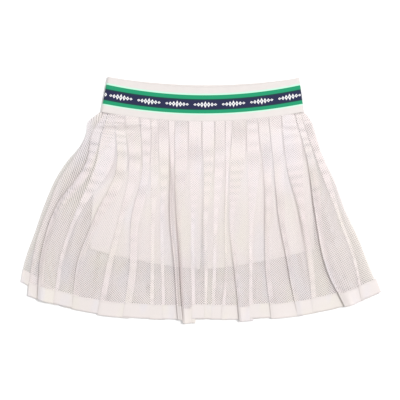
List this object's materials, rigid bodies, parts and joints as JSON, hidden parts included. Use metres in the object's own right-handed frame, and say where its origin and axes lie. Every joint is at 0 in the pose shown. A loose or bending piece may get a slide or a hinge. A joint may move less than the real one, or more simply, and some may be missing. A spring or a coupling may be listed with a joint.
{
  "type": "pleated tennis skirt laid flat",
  "caption": "Short pleated mesh tennis skirt lying flat, with a wide striped elastic waistband, an opaque hem band and inner shorts.",
  "frame": {"origin": "middle of the underside, on the surface the skirt lies on", "axes": "+X across the skirt towards the wearer's left, +Y up to the waist, +Z out of the front, away from the surface"},
  "size_m": [0.559, 0.3798, 0.0104],
  "materials": {
    "elastic": "woven elastic with a navy and green striped tape",
    "mesh": "fine open polyester mesh, knife pleated",
    "hem": "plain matte knit band",
    "shorts": "smooth opaque stretch knit"
  },
  "bodies": {
    "root": {"waistband_front": "elastic", "waistband_back": "elastic", "skirt_front": "mesh", "skirt_back": "mesh", "hem_front": "hem", "hem_back": "hem", "shorts_front_left": "shorts", "shorts_front_right": "shorts", "shorts_back_left": "shorts", "shorts_back_right": "shorts"}
  },
  "joints": []
}
